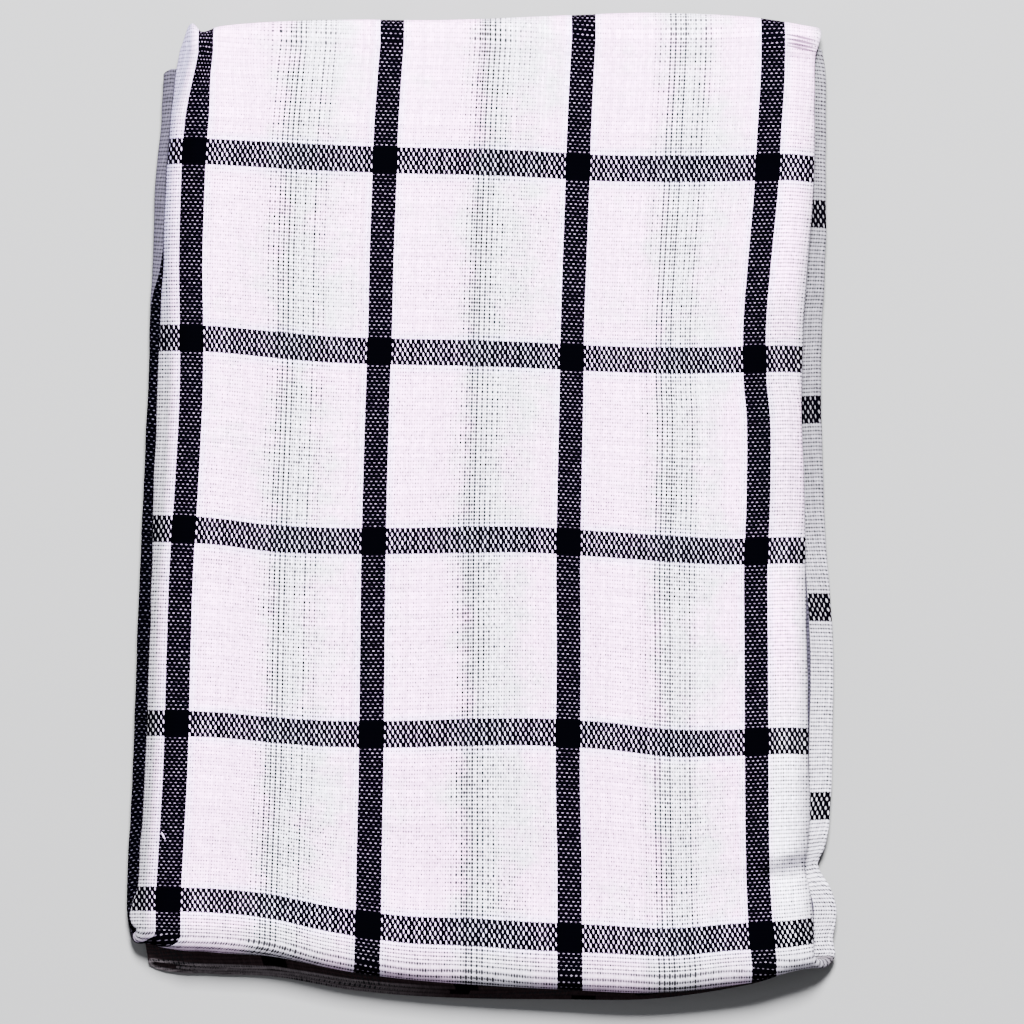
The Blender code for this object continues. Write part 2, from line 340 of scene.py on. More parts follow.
def bowed(x, y):
    """Where a point's y goes when both folds bow out of line."""
    near_share = max(NEAR_BOW_FADES_AT - y, 0) / (NEAR_BOW_FADES_AT - NEAR_FOLD_EDGE)
    far_share = max(y - FAR_BOW_FADES_AT, 0) / (FAR_FOLD_EDGE - FAR_BOW_FADES_AT)
    near_move = near_bow(x) * near_share ** NEAR_BOW_POWER
    far_move = far_bow(x) * far_share ** FAR_BOW_POWER
    return y + near_move + far_move


def surface_rise(x, y):
    """How far ridges, troughs and ripples lift the top of the stack."""
    rise = 0.0
    for wave in WAVES:
        turn = math.radians(wave.turn_degrees)
        along = (x - wave.x) * math.cos(turn) + (y - wave.y) * math.sin(turn)
        across = (y - wave.y) * math.cos(turn) - (x - wave.x) * math.sin(turn)
        spread = (along / wave.half_length) ** 2 + (across / wave.half_width) ** 2
        rise += wave.rise * math.exp(-spread)
    for ripple in RIPPLES:
        place = Vector((x / ripple.length, y / ripple.length, ripple.length))
        rise += ripple.rise * noise.noise(place)
    return rise


def folded_place(row, column, lift):
    """Where a point of the flat cloth lies once the towel is folded, in millimetres."""
    left, right = strip_edges(*row)
    x, height, face_x, face_height = across_strip(*column, left, right)
    y, z, face_y, face_z = along_stack(*row, x, height)
    x += lift * face_x
    height += lift * face_height
    y += height * face_y
    z += height * face_z
    y = bowed(x, y)
    above_table_layer = (z - SOLID_CLOTH_THICKNESS) / (STACK_HEIGHT - SOLID_CLOTH_THICKNESS)
    z += surface_rise(x, y) * ease(clamp_share(above_table_layer))
    to_left = clamp_share(1 - (x - inner_left(y)) / LEFT_SLOPE.reach)
    to_right = clamp_share(1 - (inner_right(y) - x) / RIGHT_SLOPE.reach)
    z *= 1 - LEFT_SLOPE.drop * ease(to_left) - RIGHT_SLOPE.drop * ease(to_right)
    return x, y, z


print(len(WAVES), "ridges and troughs")

# %% [markdown]
# ## Where the weave goes
#
# The check belongs to the flat cloth, so each point also gets its place in the weave, counted
# in repeats of the check: whole numbers across are the middles of the dark warp stripes, and
# whole numbers along are the middles of the dark weft stripes. On the top the stripes wander a
# little, as in any soft cloth, and two tables say where each one runs. The counts go on round
# each turn by the length of cloth in it. On the left of the inner strip the long fold wanders
# over a dark stripe, so there the weave slips sideways. At the far left corner the cloth turns
# down early, which squeezes the first stripe.

# %% Cloth coordinates
REPEAT = 44.0

Warps = namedtuple("Warps", "y first second third fourth")
WARP_STRIPES = (
    Warps(107.9, -64.1, -21.2, 23.1, 66.8),
    Warps(97.7, -65.5, -22.0, 22.5, 66.6),
    Warps(85.0, -66.9, -22.8, 21.9, 65.8),
    Warps(72.4, -67.5, -23.2, 21.5, 65.1),
    Warps(56.2, -67.9, -23.8, 20.9, 63.6),
    Warps(41.2, -67.7, -24.1, 20.4, 62.4),
    Warps(28.5, -67.7, -24.6, 20.2, 62.5),
    Warps(19.3, -68.0, -24.9, 20.0, 63.3),
    Warps(0.8, -69.0, -25.4, 19.6, 63.2),
    Warps(-15.3, -70.0, -25.7, 19.4, 62.6),
    Warps(-33.8, -70.6, -25.9, 19.5, 62.7),
    Warps(-61.5, -71.3, -26.2, 19.3, 62.8),
    Warps(-80.0, -72.2, -26.6, 19.7, 63.0),
    Warps(-94.0, -72.9, -26.8, 19.7, 63.6),
    Warps(-106.5, -73.0, -27.2, 19.8, 64.9),
)
Wefts = namedtuple("Wefts", "x first second third fourth fifth")
WEFT_STRIPES = (
    Wefts(-76.0, -91.2, -50.8, -5.6, 38.6, 82.0),
    Wefts(-62.2, -91.6, -51.2, -6.4, 38.0, 81.3),
    Wefts(-49.5, -92.9, -52.3, -8.0, 36.8, 80.6),
    Wefts(-35.7, -95.8, -53.2, -8.6, 35.6, 79.9),
    Wefts(-18.3, -98.2, -53.2, -8.6, 35.0, 79.3),
    Wefts(-3.3, -98.8, -52.7, -8.3, 34.7, 79.0),
    Wefts(10.5, -99.7, -52.6, -8.3, 34.2, 78.5),
    Wefts(26.7, -100.4, -53.4, -9.3, 33.4, 77.6),
    Wefts(42.8, -101.1, -55.2, -10.4, 33.0, 77.4),
    Wefts(56.7, -100.0, -55.2, -11.1, 33.2, 77.5),
    Wefts(69.4, -99.3, -54.7, -10.8, 33.5, 77.8),
    Wefts(76.0, -98.5, -55.0, -10.8, 33.3, 77.6),
)
INNER_REPEAT = 45.7

Slip = namedtuple("Slip", "y distance")
SLIPS = (
    Slip(99.6, 11.5),
    Slip(80.0, 10.8),
    Slip(66.6, 10.2),
    Slip(56.0, 9.4),
    Slip(46.3, 8.3),
    Slip(12.3, 8.2),
    Slip(-22.3, 9.4),
    Slip(-54.0, 10.4),
    Slip(-82.3, 11.3),
    Slip(-103.0, 11.2),
)
SLIP_REACH = 60.0
FAR_LEFT_SQUEEZE = 0.6
SQUEEZE_REACH = 0.4
SQUEEZE_STARTS_AT = 0.92

warp_curves = [smooth_curve(WARP_STRIPES, name, "y") for name in Warps._fields[1:]]
weft_curves = [smooth_curve(WEFT_STRIPES, name, "x") for name in Wefts._fields[1:]]
slip_at = smooth_curve(SLIPS, "distance", "y")


def stripes_before(place, stripes):
    """How many stripes lie before a place, with the share of the way to the next."""
    i = 0
    while i < len(stripes) - 2 and place > stripes[i + 1]:
        i += 1
    return i + (place - stripes[i]) / (stripes[i + 1] - stripes[i])


@functools.cache
def warp_stripes(row):
    """The x of each warp stripe on this line of the top, or where the line leaves the top."""
    part, share = row
    y = {"inner": NEAR_TURN_START, "near_turn": NEAR_TURN_START}.get(part, FAR_TURN_START)
    if part == "top":
        y = blend(NEAR_TURN_START, FAR_TURN_START, share)
    return [curve(y) for curve in warp_curves]


def weave_slip(part, share):
    """How far the left long fold has wandered over the weave, in millimetres."""
    if part == "inner":
        return slip_at(blend(INNER_END, NEAR_TURN_START, share))
    if part == "near_turn":
        return slip_at(NEAR_TURN_START) * (1 - ease(share))
    return 0.0


def far_end_share(part, share):
    """0 up to the last part of the top, then rising to 1 at the far fold."""
    if part == "top":
        return ease(clamp_share((share - SQUEEZE_STARTS_AT) / (1 - SQUEEZE_STARTS_AT)))
    return 1.0 if part == "far_turn" else 0.0


def repeats_across(row, column):
    """The place in the weave across the cloth."""
    left, right = strip_edges(*row)
    part, share = column
    x = across_strip(part, share, left, right)[0]
    stripes = warp_stripes(row)
    first = stripes_before(left + LEFT_TURN_RADIUS, stripes)
    last = stripes_before(right - RIGHT_TURN_RADIUS, stripes)
    left_arc = math.pi * LEFT_TURN_RADIUS / REPEAT
    right_arc = math.pi * RIGHT_TURN_RADIUS / REPEAT
    repeats = {
        "left_flap": first - left_arc - (x - left - LEFT_TURN_RADIUS) / REPEAT,
        "left_turn": first - (1 - share) * left_arc,
        "panel": stripes_before(x, stripes),
        "right_turn": last + share * right_arc,
        "right_flap": last + right_arc + (right - RIGHT_TURN_RADIUS - x) / REPEAT,
    }[part]
    near_left_fold = ease(clamp_share(1 - (x - left) / SLIP_REACH))
    if part == "right_flap":
        near_left_fold = 0.0
    near_stripe = clamp_share(1 - abs(repeats) / SQUEEZE_REACH)
    squeezed = repeats * (1 + FAR_LEFT_SQUEEZE * near_stripe * far_end_share(*row))
    return squeezed + weave_slip(*row) * near_left_fold / REPEAT


def top_repeats(x, y):
    """The place in the weave along the top, for a point given before the folds bow."""
    return stripes_before(bowed(x, y), [curve(x) for curve in weft_curves])


def repeats_along(row, x, y):
    """The place in the weave along the cloth."""
    part, share = row
    if part == "top":
        return top_repeats(x, y)
    if part in ("inner", "near_turn"):
        arc = math.pi * NEAR_TURN_RADIUS / REPEAT
        start = top_repeats(x, NEAR_TURN_START)
        if part == "near_turn":
            return start - (1 - share) * arc
        return start - arc - (y - NEAR_TURN_START) / INNER_REPEAT
    arc = math.pi * FAR_TURN_RADIUS / REPEAT
    start = top_repeats(x, FAR_TURN_START)
    if part == "far_turn":
        return start + share * arc
    return start + arc + (FAR_TURN_START - y) / REPEAT


INNER_LENGTH = INNER_END - NEAR_TURN_START
TOP_STARTS_AT = INNER_LENGTH + math.pi * NEAR_TURN_RADIUS
TOP_ENDS_AT = TOP_STARTS_AT + FAR_TURN_START - NEAR_TURN_START
UNDER_STARTS_AT = TOP_ENDS_AT + math.pi * FAR_TURN_RADIUS
CLOTH_LENGTH = UNDER_STARTS_AT + FAR_TURN_START - UNDER_END


def cloth_length(part, share):
    """How far along the flat cloth a point lies from the inner hem, in millimetres."""
    starts = (0, INNER_LENGTH, TOP_STARTS_AT, TOP_ENDS_AT, UNDER_STARTS_AT, CLOTH_LENGTH)
    i = ("inner", "near_turn", "top", "far_turn", "under").index(part)
    return blend(starts[i], starts[i + 1], share)


print("weave at the middle of the top:", round(top_repeats(0, 0), 2), "repeats along")

# %% [markdown]
# ## Stations on the flat cloth
#
# The cloth is cut as an even grid, and each line of the grid is then given its place: many
# lines on the top and in the turns, where the cloth shows and bends, and few in the hidden
# layers. This keeps the mesh smooth where it matters and well under the triangle budget.

# %% Lines of the grid
Part = namedtuple("Part", "name steps")
ACROSS_PARTS = (
    Part("left_flap", 16),
    Part("left_turn", 12),
    Part("panel", 86),
    Part("right_turn", 8),
    Part("right_flap", 16),
)
ALONG_PARTS = (
    Part("inner", 110),
    Part("near_turn", 14),
    Part("top", 134),
    Part("far_turn", 16),
    Part("under", 44),
)
FINER_NEAR_FOLDS = 0.6


def stations(parts):
    """Every line of the grid in one direction, as the part it lies in and its share of it."""
    lines = [(parts[0].name, 0.0)]
    for part in parts:
        for i in range(part.steps):
            share = (i + 1) / part.steps
            if part.name in ("panel", "top", "inner"):
                rounded = (1 - math.cos(math.pi * share)) / 2
                share = blend(share, rounded, FINER_NEAR_FOLDS)
            lines.append((part.name, share))
    return lines


columns = stations(ACROSS_PARTS)
rows = stations(ALONG_PARTS)
print(len(columns), "lines across and", len(rows), "along")

# %% [markdown]
# ## Cutting and folding the cloth
#
# A grid is thickened into a slab while it is still flat, where that is simple, and then every
# vertex is moved to its folded place. Thickening after folding would pinch the tight turns.
# Two UV maps are filled in on the way. The first holds the place in the weave. The second holds
# the share of the cloth's length and how far a point lies outside the edges of the top.

# %% The cloth mesh
GRID_SIDE = 1.0
HALF_GRID = GRID_SIDE / 2
HEM_STEP = 0.5


def cloth_thickness(row):
    """The cloth is thicker where the hem is turned over."""
    length = cloth_length(*row)
    from_end = min(length, CLOTH_LENGTH - length)
    hem_share = clamp_share((HEM_WIDTH - from_end) / HEM_STEP)
    return blend(CLOTH_THICKNESS, HEM_THICKNESS, hem_share)


def flat_cloth():
    """The flat cloth as a slab of the unit grid."""
    bm = bmesh.new()
    bmesh.ops.create_grid(
        bm, x_segments=len(columns) - 1, y_segments=len(rows) - 1, size=HALF_GRID
    )
    bmesh.ops.solidify(bm, geom=bm.faces[:], thickness=CLOTH_THICKNESS)
    return bm


@functools.cache
def weave_place(row, column):
    """The place in the weave of one crossing of the grid."""
    x, height = across_strip(*column, *strip_edges(*row))[:2]
    y = along_stack(*row, x, height)[0]
    return repeats_across(row, column), repeats_along(row, x, y)


def fold_cloth(bm):
    """Move every vertex of the flat cloth to its folded place and note its cloth coordinates."""
    lowest = min(vert.co.z for vert in bm.verts)
    weave = bm.loops.layers.uv.new("weave")
    length = bm.loops.layers.uv.new("length")
    for vert in bm.verts:
        column = columns[round((vert.co.x + HALF_GRID) * (len(columns) - 1))]
        row = rows[round((vert.co.y + HALF_GRID) * (len(rows) - 1))]
        side = (vert.co.z - lowest) / CLOTH_THICKNESS - 0.5
        place = weave_place(row, column)
        x, y, z = folded_place(row, column, side * cloth_thickness(row))
        outside = max(top_left(y) - x, x - top_right(y))
        vert.co = Vector((x - DRAWING_MIDDLE[0], y - DRAWING_MIDDLE[1], z)) * METRES_PER_MM
        for loop in vert.link_loops:
            loop[weave].uv = place
            loop[length].uv = (cloth_length(*row) / CLOTH_LENGTH, outside)
    bmesh.ops.recalc_face_normals(bm, faces=bm.faces[:])


def towel_object():
    """The folded towel as an object at the origin."""
    bm = flat_cloth()
    fold_cloth(bm)
    mesh = bpy.data.meshes.new("tea_towel_cloth")
    bm.to_mesh(mesh)
    bm.free()
    mesh.shade_smooth()
    towel = bpy.data.objects.new("tea_towel_cloth", mesh)
    bpy.context.scene.collection.objects.link(towel)
    return towel


towel = towel_object()
print("cloth has", len(towel.data.polygons), "faces")

# %% [markdown]
# ## Writing shader maths as plain sums
#
# Blender builds a procedural material from nodes. Adding them one by one hides the idea, so
# this small class wraps a node's output and lets us write `1 - mask` or `a * b`: each operator
# adds the Math node that does it. The second class adds any other node in one call.

# %% Shader helpers
def one_sum(operation):
    """A method that adds one Math node for its operator."""
    return lambda value, *others: value.maths(operation, *others)


class Value:
    """A number that varies over the surface. Working with it adds Math nodes."""

    def __init__(self, nodes, socket):
        self.nodes = nodes
        self.socket = socket

    def maths(self, operation, *others):
        """The Math node for an operation on this value and the others."""
        inputs = dict(enumerate((self, *others)))
        return self.nodes.add("ShaderNodeMath", {"operation": operation}, inputs)["Value"]

    __add__ = __radd__ = one_sum("ADD")
    __sub__ = one_sum("SUBTRACT")
    __mul__ = __rmul__ = one_sum("MULTIPLY")
    __truediv__ = one_sum("DIVIDE")
    __pow__ = one_sum("POWER")
    __mod__ = one_sum("FLOORED_MODULO")
    __abs__ = one_sum("ABSOLUTE")
    __lt__ = one_sum("LESS_THAN")
    __gt__ = one_sum("GREATER_THAN")
    floor = one_sum("FLOOR")
    nearest = one_sum("ROUND")
    sign = one_sum("SIGN")
    lower = one_sum("MINIMUM")
    higher = one_sum("MAXIMUM")

    def __rsub__(self, other):
        """A plain number less this value."""
        return self.maths("MULTIPLY", -1.0) + other

    def choose(self, when_0, when_1):
        """when_0 where this mask is 0, when_1 where it is 1, and a blend between."""
        return when_0 + (when_1 - when_0) * self


class Nodes:
    """A material's nodes, each added in one call."""

    def __init__(self, material):
        material.use_nodes = True
        self.tree = material.node_tree
        self.shader = self.tree.nodes["Principled BSDF"]

    def add(self, kind, settings=None, inputs=None):
        """Add a node, set it, then fill or link its inputs. Gives its outputs by name."""
        node = self.tree.nodes.new(kind)
        for name, setting in (settings or {}).items():
            setattr(node, name, setting)
        for name, value in (inputs or {}).items():
            self.fill(node.inputs[name], value)
        return {out.name: Value(self, out) for out in node.outputs if out.enabled}

    def fill(self, socket, value):
        """Link a value to a socket, or set the socket."""
        if isinstance(value, Value):
            self.tree.links.new(value.socket, socket)
        else:
            socket.default_value = value

    def random(self, across, along=0.0):
        """A random share from 0 to 1 for each pair of whole numbers."""
        place = self.add("ShaderNodeCombineXYZ", None, {"X": across, "Y": along})["Vector"]
        settings = {"noise_dimensions": "2D"}
        return self.add("ShaderNodeTexWhiteNoise", settings, {"Vector": place})["Value"]

    def cloud(self, place, scale):
        """Soft random blotches, from 0 to 1."""
        inputs = {"Vector": place, "Scale": scale}
        return self.add("ShaderNodeTexNoise", {"noise_dimensions": "2D"}, inputs)["Fac"]

    def step(self, value, low, high):
        """A mask from 0 at low to 1 at high, smooth at both. Either may be the larger."""
        settings = {"interpolation_type": "SMOOTHSTEP"}
        inputs = {"Value": value, "From Min": low, "From Max": high}
        return self.add("ShaderNodeMapRange", settings, inputs)["Result"]

    def mix(self, factor, first, second):
        """One colour turning into another."""
        inputs = {0: factor, 6: first, 7: second}
        return self.add("ShaderNodeMix", {"data_type": "RGBA"}, inputs)["Result"]

    def darken(self, colour, share):
        """A colour times a share of light."""
        inputs = {0: colour, "Scale": share}
        return self.add("ShaderNodeVectorMath", {"operation": "SCALE"}, inputs)["Vector"]


Varied = namedtuple("Varied", "least extra")


def vary(size, random):
    """The least size where the random share is 0, with all of the extra where it is 1."""
    return size.least + size.extra * random


print("shader helpers ready")

# %% [markdown]
# ## The yarns
#
# A plain weave is a chequerboard: in one square the warp yarn lies on top, in the next the
# weft yarn. We count yarns across and along from the middle of the nearest dark stripe. The
# dark warp yarns lie a little closer than the white ones, and the dark weft yarns are thicker
# and lie further apart, so the count runs at another rate inside a stripe than outside it.

# %% Yarn counts
Yarns = namedtuple("Yarns", "per_repeat in_stripe half_stripe")
WARP = Yarns(76, 10, 0.0628)
WEFT = Yarns(50, 6, 0.0685)


def yarn_count(repeats, yarns):
    """The yarn that a point lies on, and how many yarns the nearest stripe's middle is away."""
    check = repeats.nearest()
    offset = repeats - check
    reach = abs(offset)
    half_yarns = yarns.in_stripe / 2
    inside = reach * (half_yarns / yarns.half_stripe)
    plain_rate = (yarns.per_repeat / 2 - half_yarns) / (0.5 - yarns.half_stripe)
    outside = (reach - yarns.half_stripe) * plain_rate + half_yarns
    from_middle = (reach > yarns.half_stripe).choose(inside, outside)
    return check * yarns.per_repeat + from_middle * offset.sign(), from_middle


print(WARP.per_repeat, "warp and", WEFT.per_repeat, "weft yarns in a repeat")

# %% [markdown]
# ## Places on the cloth
#
# Everything that the material draws hangs on a few values, read once from the two UV maps: the
# yarn, the way to the nearest dark stripe, and masks for the inner strip, the fold edges and the
# last strand of the hem, which have a look of their own, largely painted shade.

# %% Weave coordinates
Weave = namedtuple(
    "Weave",
    "cloth across along share warp weft warp_from_stripe weft_from_stripe dark_warp"
    " dark_weft length outside inner inner_left edges hem_edge",
)

LEFT_EDGE = (-0.05, -0.09)
RIGHT_EDGE = (3.03, 3.10)
RIGHT_EDGE_SHARE = 0.6
INNER_LEFT_BELOW = 1.0
NEAR_EDGE = (TOP_STARTS_AT + 12.0, TOP_STARTS_AT + 1.0)
NEAR_EDGE_SHARE = 0.9
FAR_END_OF_EDGES = (3.7, 4.5)
FAR_END_SMOOTHER = 0.6
STRAND_WIDTH = 0.6
STRAND_RIM = 0.3
STRAND_FADES = (-0.005, -0.030)


def weave_coordinates(nodes):
    """The place in the weave, in repeats and in yarns, and along the cloth."""
    cloth = nodes.add("ShaderNodeUVMap", {"uv_map": "weave"})["UV"]
    parts = nodes.add("ShaderNodeSeparateXYZ", None, {"Vector": cloth})
    across, along = parts["X"], parts["Y"]
    whole = nodes.add("ShaderNodeUVMap", {"uv_map": "length"})["UV"]
    whole_parts = nodes.add("ShaderNodeSeparateXYZ", None, {"Vector": whole})
    length, outside = whole_parts["X"] * CLOTH_LENGTH, whole_parts["Y"]
    inner = length < INNER_LENGTH
    inner_left = inner * (across < INNER_LEFT_BELOW)
    # The fold edges, where the rows get stronger painted shade and the gaps are bigger.
    near_fold = nodes.step(length, *NEAR_EDGE) * NEAR_EDGE_SHARE
    right_edge = nodes.step(across, *RIGHT_EDGE) * inner.choose(RIGHT_EDGE_SHARE, 1.0)
    edges = nodes.step(across, *LEFT_EDGE).higher(right_edge)
    far_end = nodes.step(along, *FAR_END_OF_EDGES)
    edges = edges.higher(near_fold) * (1 - FAR_END_SMOOTHER * far_end)
    strand_at = CLOTH_LENGTH - STRAND_WIDTH
    hem_edge = nodes.step(length, strand_at - STRAND_RIM, strand_at)
    place = nodes.add("ShaderNodeTexCoord")["Object"]
    x = nodes.add("ShaderNodeSeparateXYZ", None, {"Vector": place})["X"]
    # The last strand's lighter painted shade fades out towards the right.
    hem_edge = hem_edge * nodes.step(x, *STRAND_FADES)
    warp, warp_from_stripe = yarn_count(across, WARP)
    weft, weft_from_stripe = yarn_count(along, WEFT)
    weft_from_stripe = weft_from_stripe + inner_left * WEFT.per_repeat
    warp_from_stripe = warp_from_stripe + hem_edge * WARP.per_repeat
    dark_warp = warp_from_stripe < WARP.in_stripe / 2
    dark_weft = weft_from_stripe < WEFT.in_stripe / 2
    return Weave(
        cloth, across, along, across - across.floor(), warp, weft, warp_from_stripe,
        weft_from_stripe, dark_warp, dark_weft, length, outside, inner,
        inner_left, edges, hem_edge,
    )


print("each point has", len(Weave._fields), "values")

# %% [markdown]
# ## The dark stripes
#
# In each square of the weave an oval float of the upper yarn shows. Dark warp crossed by white
# weft shows small white dashes; dark weft crossed by white warp shows slanted white strokes;
# dark on dark is solid. The yarns are uneven, so each one gets its own random width and shift.
# One loose white fibre lies across the first dark stripe.

# %% Dark stripes
OVAL_RIM = (1.3, 0.7)
DASH_HALF_LENGTH = 0.44
DASH_HALF_WIDTH = Varied(0.06, 0.07)
# Dashes and strokes are only partly white: painted shade on floats sunk between dark yarns.
DASH_WHITENESS = Varied(0.10, 0.2)
STROKE_SLANT = 0.18
STROKE_SHIFT = 0.25
STROKE_HALF_WIDTH = Varied(0.18, 0.13)
STROKE_HALF_LENGTH = Varied(0.36, 0.18)
STROKE_WHITENESS = Varied(0.6, 0.4)
FIBRE_AT = (-0.043, 0.362)
FIBRE_SLANT = 0.5
FIBRE_HALF_SIZE = (0.004, 0.020)
CROWN_HALF_WIDTH = 0.56
CROWN_HALF_LENGTH = 1.02


def oval(nodes, dx, dy, half_x, half_y):
    """1 inside an oval and 0 outside it, with a soft rim."""
    spread = (dx / half_x) ** 2 + (dy / half_y) ** 2
    return nodes.step(spread, *OVAL_RIM)


def dark_stripes(nodes, weave):
    """How dark each point is: 0 on white yarn, 1 on dark, and between on a sunken white float
    dimmed by painted shade.
    """
    warp_yarn, weft_yarn = weave.warp.floor(), weave.weft.floor()
    each_square = nodes.random(warp_yarn, weft_yarn)
    each_warp = nodes.random(warp_yarn)
    dx = weave.warp - warp_yarn - 0.5
    dy = weave.weft - weft_yarn - 0.5
    weft_on_top = (warp_yarn + weft_yarn) % 2.0
    to_weft_float = weft_on_top.choose(1 - abs(dx), abs(dx))
    to_warp_float = weft_on_top.choose(abs(dy), 1 - abs(dy))
    dash_half_width = vary(DASH_HALF_WIDTH, each_square)
    dash = oval(nodes, to_weft_float, dy, DASH_HALF_LENGTH, dash_half_width)
    slant = dx + dy * STROKE_SLANT + (each_warp - 0.5) * STROKE_SHIFT
    stroke_half_width = vary(STROKE_HALF_WIDTH, each_warp)
    stroke_half_length = vary(STROKE_HALF_LENGTH, each_square)
    stroke = oval(nodes, slant, to_warp_float, stroke_half_width, stroke_half_length)
    only_warp = weave.dark_warp * (1 - weave.dark_weft)
    only_weft = weave.dark_weft * (1 - weave.dark_warp)
    dashed = 1 - dash * vary(DASH_WHITENESS, each_square)
    stroked = 1 - stroke * vary(STROKE_WHITENESS, each_square)
    dark = only_warp * dashed + only_weft * stroked + weave.dark_warp * weave.dark_weft
    fibre_dy = weave.along - FIBRE_AT[1]
    fibre_dx = weave.across - FIBRE_AT[0] + fibre_dy * FIBRE_SLANT
    dark = dark * (1 - oval(nodes, fibre_dx, fibre_dy, *FIBRE_HALF_SIZE))
    warp_crown = 1 - (dx / CROWN_HALF_WIDTH) ** 2 - (to_warp_float / CROWN_HALF_LENGTH) ** 2
    weft_crown = 1 - (to_weft_float / CROWN_HALF_LENGTH) ** 2 - (dy / CROWN_HALF_WIDTH) ** 2
    return dark, warp_crown.higher(weft_crown).higher(0.0), each_square


print("stripes of", WARP.in_stripe, "warp and", WEFT.in_stripe, "weft yarns")

# %% [markdown]
# ## The open stripes
#
# Half-way between the warp stripes the cloth is woven more openly, and little gaps show at the
# corners where four yarns meet; they are painted dark, as the shade seen through the weave.
# Every second yarn leaves bigger gaps all along, and that is what makes a run of dots.
# Everywhere else the gaps are tiny and only give the cloth its grain. To the right of each open
# stripe, and on the fold edges, they are a little bigger.

# %% Open stripes
OPEN_STRIPE_AT = 0.505
STRIPE_WOBBLE = 0.06
STRIPE_WOBBLE_SCALE = 1.7
STRIPE_MASK = (0.11, 0.03)
HALO_MASK = (0.2, 0.05)
LOOSE_BEGINS = (0.45, 0.55)
LOOSE_ENDS = (0.9, 0.6)

NARROW_RUN = Varied(-0.4, 0.45)
WIDE_RUN = Varied(0.25, 0.45)
STAGGERED = 0.24
ROW_EXTRA = 0.15
GAP_EXTRA = 0.3
PATCH_EXTRA = 0.5
PATCH_SCALE = 4.5
STRIPE_OPENNESS = 0.10
FAINTER_BY = 0.25
LARGEST_GAP = 1.08
GAP_HALF_WIDTH = 0.47
GAP_HALF_HEIGHT = 0.42

LEAST_GRAIN = 0.21
GRAIN_EXTRA = Varied(0.24, 0.6)
ROUGH_SCALE = 3.1
ROUGHNESS_THERE = Varied(0.55, 0.45)
EDGE_GRAIN = 0.12
FAR_END_OF_GRAIN = (3.9, 4.5)
FAR_END_FINER = 0.35
RUN_SEED = 3.0
ROW_SEED = 5.0


def gap_sizes(nodes, weave, corner_warp, corner_weft, each_gap):
    """How big the gap at each corner would be in the middle of an open stripe."""
    each_run = nodes.random(corner_warp, RUN_SEED)
    each_row = nodes.random(corner_weft, ROW_SEED)
    patch = nodes.cloud(weave.cloth, PATCH_SCALE)
    runs = (corner_warp % 2.0).choose(vary(NARROW_RUN, each_run), vary(WIDE_RUN, each_run))
    staggered = ((corner_warp + corner_weft) % 2.0) * STAGGERED
    return runs + staggered + each_row * ROW_EXTRA + each_gap * GAP_EXTRA + patch * PATCH_EXTRA


def open_stripes(nodes, weave):
    """Where the gaps between yarns are, and how open the weave is around each point."""
    wobble = nodes.cloud(weave.cloth, STRIPE_WOBBLE_SCALE) - 0.5
    from_middle = abs(weave.share - OPEN_STRIPE_AT + wobble * STRIPE_WOBBLE)
    shown = 1 - weave.inner
    stripe = nodes.step(from_middle, *STRIPE_MASK) * shown
    halo = nodes.step(from_middle, *HALO_MASK) * shown
    loose = nodes.step(weave.share, *LOOSE_ENDS) * nodes.step(weave.share, *LOOSE_BEGINS) * shown
    corner_warp, corner_weft = weave.warp.nearest(), weave.weft.nearest()
    each_gap = nodes.random(corner_warp, corner_weft)
    size = gap_sizes(nodes, weave, corner_warp, corner_weft, each_gap)
    fainter = halo.higher(loose) * (size - FAINTER_BY)
    rough = nodes.cloud(weave.cloth, ROUGH_SCALE) * vary(ROUGHNESS_THERE, loose)
    grain = LEAST_GRAIN + each_gap * vary(GRAIN_EXTRA, rough) + weave.edges * EDGE_GRAIN
    grain = grain * (1 - FAR_END_FINER * nodes.step(weave.along, *FAR_END_OF_GRAIN))
    size = (stripe * (size + STRIPE_OPENNESS)).higher(fainter).higher(grain).lower(LARGEST_GAP)
    dx = abs(weave.warp - corner_warp)
    dy = abs(weave.weft - corner_weft)
    gap = oval(nodes, dx, dy, size * GAP_HALF_WIDTH, size * GAP_HALF_HEIGHT)
    return gap * (1 - weave.dark_warp) * (1 - weave.dark_weft), halo


print("open stripes", OPEN_STRIPE_AT, "of a repeat from each warp stripe")

# %% [markdown]
# ## The white of the cloth
#
# The ground is not one white. It is pinkish between the stripes, bluish close beside the dark
# yarns, and greyer to the right of each open stripe, with soft blotches. Where the cloth goes
# round a fold, sinks in a hollow or is creased, a plainer, darker white is painted in as shade.
# The inner strip's left side is painted in shade too, and what is turned under at the near end
# and the last hem of the under strip lie in painted deep shade. Each tone is laid over the last
# with a mask.

# %% White ground
PINK_WHITE = (0.98, 0.55, 1.0, 1.0)
BLUE_WHITE = (0.66, 0.60, 0.95, 1.0)
GREY_WHITE = (0.64, 0.61, 0.74, 1.0)
# Painted shade where the cloth rounds the left fold, turning lilac towards the far end.
LEFT_SHADE_WHITE = (0.235, 0.225, 0.265, 1.0)
LILAC_SHADE_WHITE = (0.25, 0.225, 0.37, 1.0)
# Painted shade on the right fold, in a crease, in a hollow and round the near fold.
FOLD_SHADE_WHITE = (0.34, 0.325, 0.385, 1.0)
# Painted shade on the inner strip's left side, tucked under the top.
INNER_SHADE_WHITE = (0.145, 0.132, 0.195, 1.0)
# Painted deep shade on the turned-under near end and the under strip's last hem; its last strand
# is painted a little less dark.
HEM_SHADE = (0.022, 0.014, 0.016, 1.0)
HEM_EDGE_SHADE = (0.11, 0.095, 0.105, 1.0)

